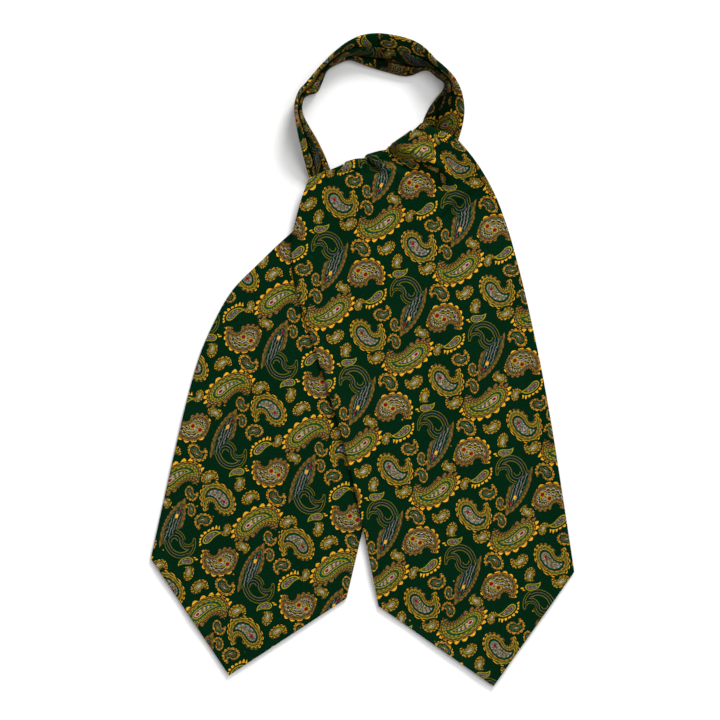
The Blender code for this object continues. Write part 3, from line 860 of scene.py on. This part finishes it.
def loft(name, rings, print_turn, print_shift, folded, material):
    """A closed solid through rings of points, with a flat face at each end.

    folded is true for a strip whose ring runs along one side of the cloth and back along the other."""
    size = len(rings[0])
    around = [0.0]
    middle = rings[len(rings) // 2]
    for m in range(size):
        around.append(around[-1] + (middle[(m + 1) % size] - middle[m]).length)
    half_way = around[-1] / 2
    along = [0.0]
    for before, after in zip(rings, rings[1:]):
        step = sum((b - a).length for a, b in zip(before, after)) / size
        along.append(along[-1] + step)
    scale = max(around[-1], along[-1]) + END_ROOM
    faces, bake, printed = [], [], []

    def print_place(m, k):
        across = around[m]
        if folded and across > half_way:
            across = around[-1] - across
        return to_print((across, along[k]), print_turn, print_shift)

    for k in range(len(rings) - 1):
        for m in range(size):
            n = (m + 1) % size
            faces.append([k * size + m, (k + 1) * size + m, (k + 1) * size + n, k * size + n])
            corners = ((m, k), (m, k + 1), (m + 1, k + 1), (m + 1, k))
            bake.append([(around[a] / scale, along[b] / scale) for a, b in corners])
            printed.append([print_place(a, b) for a, b in corners])
    for end, order in ((0, 1), (len(rings) - 1, -1)):
        ids = list(range(size))[::order]
        middle_point = sum(rings[end], Vector()) / size
        corner = Vector((around[-1] + END_AT, END_AT + END_STEP * (end > 0)))
        faces.append([end * size + m for m in ids])
        side = (rings[end][0] - middle_point).normalized()
        axis = (rings[min(end + 1, len(rings) - 1)][0] - rings[max(end - 1, 0)][0]).normalized()
        other = axis.cross(side).normalized()
        side = other.cross(axis).normalized()
        spots = [rings[end][m] - middle_point for m in ids]
        bake.append([((corner.x + s.dot(side)) / scale, (corner.y + s.dot(other)) / scale) for s in spots])
        printed.append([(s.dot(side), s.dot(other)) for s in spots])
    points = [p for ring in rings for p in ring]
    obj = make_mesh(name, points, faces, {"OFBake": bake, "print": printed}, material)
    shape = bmesh.new()
    shape.from_mesh(obj.data)
    bmesh.ops.recalc_face_normals(shape, faces=shape.faces)
    for face in shape.faces:
        face.smooth = len(face.verts) == 4
    shape.to_mesh(obj.data)
    shape.free()
    return obj


class Tree:
    """Short names for adding the nodes of a material."""

    def __init__(self, name):
        self.material = bpy.data.materials.new(name)
        self.material.use_nodes = True
        self.nodes = self.material.node_tree.nodes
        self.shader = self.nodes["Principled BSDF"]

    def join(self, value, socket):
        if isinstance(value, bpy.types.NodeSocket):
            self.material.node_tree.links.new(value, socket)
        else:
            socket.default_value = value

    def shade(self, colour, roughness):
        self.join(colour, self.shader.inputs["Base Color"])
        self.join(roughness, self.shader.inputs["Roughness"])

    def node(self, kind, inputs, **settings):
        """A new node with its settings made, and then its inputs filled by name or number."""
        node = self.nodes.new("ShaderNode" + kind)
        for name, value in settings.items():
            setattr(node, name, value)
        for name, value in inputs.items():
            self.join(value, node.inputs[name])
        return node

    def operation(self, kind, name, values):
        return self.node(kind, dict(enumerate(values)), operation=name).outputs

    def math(self, name, *values):
        return self.operation("Math", name, values)[0]

    def vector(self, name, *values):
        return self.operation("VectorMath", name, values)["Vector"]

    def measure(self, name, *values):
        """A vector operation that gives one number."""
        return self.operation("VectorMath", name, values)["Value"]

    def product(self, *values):
        total = values[0]
        for value in values[1:]:
            total = self.math("MULTIPLY", total, value)
        return total

    def length(self, first, second):
        return self.math("SQRT", self.math("MULTIPLY_ADD", first, first, self.product(second, second)))

    def mix(self, kind, share, first, second):
        ins, out = {"FLOAT": ((2, 3), 0), "VECTOR": ((4, 5), 1), "RGBA": ((6, 7), 2)}[kind]
        inputs = {0: share, ins[0]: first, ins[1]: second}
        return self.node("Mix", inputs, data_type=kind).outputs[out]

    def paint(self, colour, over, *masks):
        """A colour with another one over it where all the masks are 1."""
        return self.mix("RGBA", self.product(*masks), colour, over)

    def steps(self, value, stops):
        """A ramp node of flat colours, each from its own place on."""
        node = self.node("ValToRGB", {0: value})
        node.color_ramp.interpolation = "CONSTANT"
        elements = node.color_ramp.elements
        while len(elements) < len(stops):
            elements.new(0.5)
        for element, (place, colour) in zip(elements, stops):
            element.position = place
            element.color = colour
        return node

    def bands(self, distance, stops):
        """Bands of flat colour, each from its own distance on, between -1 and 1."""
        value = self.math("MULTIPLY_ADD", distance, 0.5, 0.5)
        return self.steps(value, [((start + 1) / 2, colour) for start, colour in stops]).outputs[0]

    def noise(self, place, scale, detail=2.0):
        return self.node("TexNoise", {"Vector": place, "Scale": scale, "Detail": detail}).outputs["Fac"]

    def cells(self, place, scale):
        """The distance from the middles of cells scattered over the cloth."""
        return self.node("TexVoronoi", {"Vector": place, "Scale": scale}).outputs["Distance"]


def nearest_drop(tree, place):
    """The local place in the nearest drop of the print, and that drop's style."""
    half = (REPEAT[0] / 2, REPEAT[1] / 2, 1.0)
    best, best_key, style = None, None, None
    for drop in DROPS:
        offset = tree.vector("SUBTRACT", place, (drop["x"], drop["y"], 0.0))
        wrapped = tree.vector("WRAP", offset, half, [-h for h in half])
        turn = math.radians(drop["turn"])
        size = Vector((drop["half_width"] * drop["side"], drop["half_length"], 1.0))
        back = Vector((DROP_MIDDLE.x * size.x, DROP_MIDDLE.y * size.y, 0.0))
        corner = -(Matrix.Rotation(turn, 3, "Z") @ back)
        inputs = {"Vector": wrapped, "Location": corner, "Rotation": (0.0, 0.0, turn), "Scale": size}
        local = tree.node("Mapping", inputs, vector_type="TEXTURE").outputs[0]
        key = tree.measure("DISTANCE", local, DROP_MIDDLE)
        number = STYLE_NUMBERS[drop["style"]]
        if best is None:
            best, best_key, style = local, key, number
            continue
        closer = tree.math("LESS_THAN", key, best_key)
        best = tree.mix("VECTOR", closer, best, local)
        style = tree.mix("FLOAT", closer, style, number)
        best_key = tree.math("MINIMUM", key, best_key)
    return best, style


def style_numbers(tree, style):
    """The bend, tail, petals and beads of the style at a place."""
    stops = []
    for number, form in enumerate(STYLES.values()):
        shares = (form["bend"] / MOST, form["tail"] / MOST, form["petals"], form["beads"] / MOST_BEADS)
        stops.append((number / STYLE_STEPS, shares))
    scaled = tree.math("MULTIPLY_ADD", style, 1 / STYLE_STEPS, 0.5 / STYLE_STEPS)
    outputs = tree.steps(scaled, stops).outputs
    bend, tail, petals = tree.node("SeparateColor", {0: outputs["Color"]}).outputs[:3]
    beads = tree.product(outputs["Alpha"], MOST_BEADS)
    return tree.product(bend, MOST), tree.product(tail, MOST), petals, beads


def drop_shape(tree, local, bend, tail):
    """The distance from a drop's outline, negative inside, the length along it, and the side of it.

    The fat end is a circle of radius 1. The tail runs up from it and curls round a circle."""
    x, y = tree.node("SeparateXYZ", {0: local}).outputs[:2]
    from_centre = tree.math("SUBTRACT", bend, x)
    above = tree.math("GREATER_THAN", y, 0.0)
    radius = tree.length(from_centre, y)
    curled_y = tree.math("MULTIPLY", tree.math("ARCTAN2", y, from_centre), bend)
    curled_x = tree.math("SUBTRACT", bend, radius)
    bent_x = tree.mix("FLOAT", above, x, curled_x)
    bent_y = tree.mix("FLOAT", above, y, curled_y)
    side = tree.math("ABSOLUTE", bent_x)
    on_tail = tree.math("MINIMUM", tree.math("MAXIMUM", bent_y, 0.0), tail)
    beyond = tree.math("SUBTRACT", bent_y, on_tail)
    reach = tree.length(side, beyond)
    share = tree.math("DIVIDE", on_tail, tail)
    taper = tree.math("COSINE", tree.math("MULTIPLY", share, TAPER))
    width = tree.math("POWER", taper, TAPER_POWER)
    distance = tree.math("SUBTRACT", reach, width)
    below = tree.math("MINIMUM", bent_y, 0.0)
    around = tree.math("ADD", tree.math("ARCTAN2", below, side), tree.math("MAXIMUM", bent_y, 0.0))
    return distance, around, bent_x


def leaf_distance(tree, local):
    """The distance from a leaf's outline, pointed at both ends where two wide circles cross."""
    x, y = tree.node("SeparateXYZ", {0: local}).outputs[:2]
    side = tree.math("ADD", tree.math("ABSOLUTE", x), LEAF_ROUND - 1.0)
    along = tree.math("SUBTRACT", y, LEAF_MIDDLE)
    return tree.math("SUBTRACT", tree.length(side, along), LEAF_ROUND)


def nearest_of(tree, local, places):
    """The distance from the nearest of some local places."""
    nearest = None
    for place in places:
        away = tree.measure("DISTANCE", local, (*place, 0.0))
        nearest = away if nearest is None else tree.math("MINIMUM", nearest, away)
    return nearest


def print_colour(tree, place):
    """The colour of the print at a place of the cloth, in millimetres."""
    local, style = nearest_drop(tree, place)
    bend, tail, petals, beads = style_numbers(tree, style)
    distance, around, bent_x = drop_shape(tree, local, bend, tail)
    is_style = {
        name: tree.math("COMPARE", style, number, STYLE_MATCH) for name, number in STYLE_NUMBERS.items()
    }
    distance = tree.mix("FLOAT", is_style["leaf"], distance, leaf_distance(tree, local))
    odd = tree.math("GREATER_THAN", tree.math("SINE", tree.product(around, beads)), 0.0)
    colour = GROUND
    for name, form in STYLES.items():
        turns = [
            tree.bands(distance, [(start, colours[turn]) for start, *colours in form["bands"]])
            for turn in (0, -1)
        ]
        colour = tree.paint(colour, tree.mix("RGBA", odd, *turns), is_style[name])

    deep = tree.math("LESS_THAN", distance, FILIGREE_EDGE)
    colour = tree.paint(colour, filigree(tree, place), is_style["dotted"], deep)
    inside = tree.math("LESS_THAN", distance, FEATHER_EDGE)
    colour = tree.paint(colour, feather(tree, local, place), is_style["leaf"], inside)
    for spot in SPOTS:
        within = tree.math("LESS_THAN", nearest_of(tree, local, spot["places"]), spot["radius"])
        styled = is_style[spot["styles"][0]]
        for name in spot["styles"][1:]:
            styled = tree.math("ADD", styled, is_style[name])
        colour = tree.paint(colour, spot["colour"], styled, within)

    outside = tree.math("GREATER_THAN", distance, OUTLINE)
    colour = tree.paint(colour, ground_colour(tree, place), outside)
    return add_petals(tree, colour, is_style["sun"], distance, around, bent_x, petals)


def feather(tree, local, place):
    """Pale wavering lines along a leaf."""
    bent = tree.product(tree.noise(place, FEATHER_BENDS["scale"]), FEATHER_BENDS["size"])
    stripes = tree.math("ADD", tree.measure("DOT_PRODUCT", local, FEATHER_STRIPES), bent)
    return tree.bands(tree.math("SINE", stripes), FEATHER)


def add_petals(tree, colour, sun, distance, around, bent_x, petals):
    """Bright petals outside the outline, on one side alone where the style is a sun."""
    scallop = tree.math("ABSOLUTE", tree.math("SINE", tree.product(around, PETAL_WAVES)))
    raised = tree.product(tree.math("SUBTRACT", scallop, PETAL_FLOOR), PETAL_GAIN)
    below_tip = tree.math("LESS_THAN", distance, tree.math("MULTIPLY_ADD", raised, petals, PETALS_FROM))
    outside = tree.math("GREATER_THAN", distance, PETALS_FROM)
    curled_side = tree.math("GREATER_THAN", bent_x, 0.0)
    allowed = tree.math("SUBTRACT", 1.0, tree.product(sun, curled_side))
    petal = tree.mix("RGBA", curled_side, BRIGHT_GOLD, TAN)
    return tree.paint(colour, petal, below_tip, outside, allowed)


def filigree(tree, place):
    """Small blossoms and pale lines that fill the large drops."""
    return tree.bands(tree.cells(place, FILIGREE_SCALE), FILIGREE)


def ground_colour(tree, place):
    """The dark ground between the drops, with a few loose dots."""
    loose = tree.math("LESS_THAN", tree.cells(place, DOT_SCALE), DOT_RADIUS)
    return tree.paint(GROUND, GOLD, loose)


def printed_silk(name, shade):
    """Silk twill with the paisley print. shade is painted shade: it darkens the colour of a side turned
    away.
    """
    tree = Tree(name)
    uv = tree.nodes.new("ShaderNodeUVMap")
    uv.uv_map = "print"
    place = uv.outputs[0]
    colour = print_colour(tree, place)
    flecks = tree.noise(place, **FLECKS)
    clouds = tree.noise(place, **CLOUDS)
    # painted shade: the silk's colour is scaled down by shade
    woven = tree.math("MULTIPLY_ADD", flecks, FLECK_TONE["gain"] * shade, FLECK_TONE["base"] * shade)
    cloudy = tree.math("MULTIPLY_ADD", clouds, CLOUD_TONE["gain"], CLOUD_TONE["base"])
    toned = tree.vector("SCALE", colour)
    tree.join(tree.product(woven, cloudy), toned.node.inputs["Scale"])
    stretched = tree.vector("MULTIPLY", place, RIB_STRETCH)
    ribs = tree.node("TexWave", {"Vector": stretched, "Scale": RIB_SCALE}).outputs["Fac"]
    height = tree.math("MULTIPLY_ADD", ribs, RIB_SHARE, flecks)
    bump = tree.node("Bump", {"Strength": BUMP_STRENGTH, "Distance": BUMP_DEPTH, "Height": height})
    rough = tree.math("MULTIPLY_ADD", flecks, ROUGHNESS["gain"], ROUGHNESS["base"])
    tree.shade(toned, rough)
    tree.join(bump.outputs[0], tree.shader.inputs["Normal"])
    tree.shader.inputs["Specular IOR Level"].default_value = SPECULAR
    return tree.material


def light(name, at, size, watts):
    """A square soft light that points at the origin."""
    data = bpy.data.lights.new(name, "AREA")
    data.size = size
    data.energy = watts
    turn = (-Vector(at)).to_track_quat("-Z", "Y").to_euler()
    placed(name, data, at).rotation_euler = turn


def studio():
    """The pale floor, the soft light from the upper right and the camera straight above."""
    mesh = bpy.data.meshes.new("floor")
    shape = bmesh.new()
    bmesh.ops.create_grid(shape, x_segments=1, y_segments=1, size=FLOOR_SIZE)
    shape.to_mesh(mesh)
    shape.free()
    floor = placed("floor", mesh, FLOOR_AT)
    paper = Tree("floor paper")
    paper.shade(FLOOR_COLOUR, FLOOR_ROUGHNESS)
    mesh.materials.append(paper.material)
    world = bpy.data.worlds.new("studio")
    world.use_nodes = True
    sky = world.node_tree.nodes["Background"]
    sky.inputs["Color"].default_value = (1.0, 1.0, 1.0, 1.0)
    sky.inputs["Strength"].default_value = SKY_STRENGTH
    bpy.context.scene.world = world
    for lamp in LIGHTS:
        light(**lamp)
    data = bpy.data.cameras.new("camera")
    data.lens = LENS
    data.sensor_width = SENSOR
    data.clip_end = FARTHEST
    bpy.context.scene.camera = placed("camera", data, CAMERA_AT)
    bpy.context.scene.view_settings.view_transform = "Standard"


def paint_shade_inside(band, size, material):
    """Painted shade on the band's folds next to the neck, which lie in its shade: the other material, a
    darker copy of the silk.
    """
    band.data.materials.append(material)
    half = size // 2
    first, last = (half * fold // len(BAND_FOLDS) for fold in INSIDE_FOLDS)
    for number, face in enumerate(band.data.polygons):
        place = number % size
        place = min(place, size - 1 - place)
        if len(face.vertices) == 4 and first <= place <= last:
            face.material_index = 1


def mesh_tree(obj):
    shape = bmesh.new()
    shape.from_mesh(obj.data)
    tree = BVHTree.FromBMesh(shape)
    shape.free()
    return tree


def dress():
    """The cloth pieces, each in the place of its nodes."""
    silk = printed_silk("printed silk", 1.0)
    # Darker copies of the silk, which paint shade on the bands' folds next to the neck
    painted_shade_names = {"band_left": "printed silk, painted shade", "band_right": "printed silk, deeper painted shade"}
    painted_shade_silk = {band: printed_silk(name, PAINTED_SHADE_LEVELS[band]) for band, name in painted_shade_names.items()}

    grid, flat = left_blade_grid()
    left = shell("left_blade", grid, flat, -REPEAT_TURN + math.pi, LEFT_SHIFT, silk)
    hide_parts("left_blade_face", "left_blade_back")

    rings = [wrap_ring((len(WRAP) - 1) * k / WRAP_STATIONS) for k in range(WRAP_STATIONS + 1)]
    crossing = loft("crossing", rings, FOLDED_TURN, NO_SHIFT, False, silk)
    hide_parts("crossing_wrap")

    grid, flat = right_blade_grid([mesh_tree(left), mesh_tree(crossing)])
    right = shell("right_blade", grid, flat, -REPEAT_TURN, NO_SHIFT, silk)
    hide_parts("right_blade_face", "right_blade_back")

    half_gap = SEWN_GAP / 2 / BACK_SPACING
    spans = {
        "band_left": (0, BACK_SEAM - half_gap, "neck_band_left", 0.165),
        "band_right": (BACK_SEAM + half_gap, len(BAND) - 1, "neck_band_right", 0.135),
    }
    bands = []
    for name, (start, end, node, length) in spans.items():
        rings = [band_station(start + (end - start) * k / BAND_STATIONS) for k in range(BAND_STATIONS + 1)]
        band = loft(name, rings, FOLDED_TURN, NO_SHIFT, True, silk)
        # the painted shade goes on the folds next to the neck
        paint_shade_inside(band, len(rings[0]), painted_shade_silk[name])
        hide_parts(node)
        bands.append(band)

    for piece in (left, right, *bands, crossing):
        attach(piece, "root")


studio()
dress()
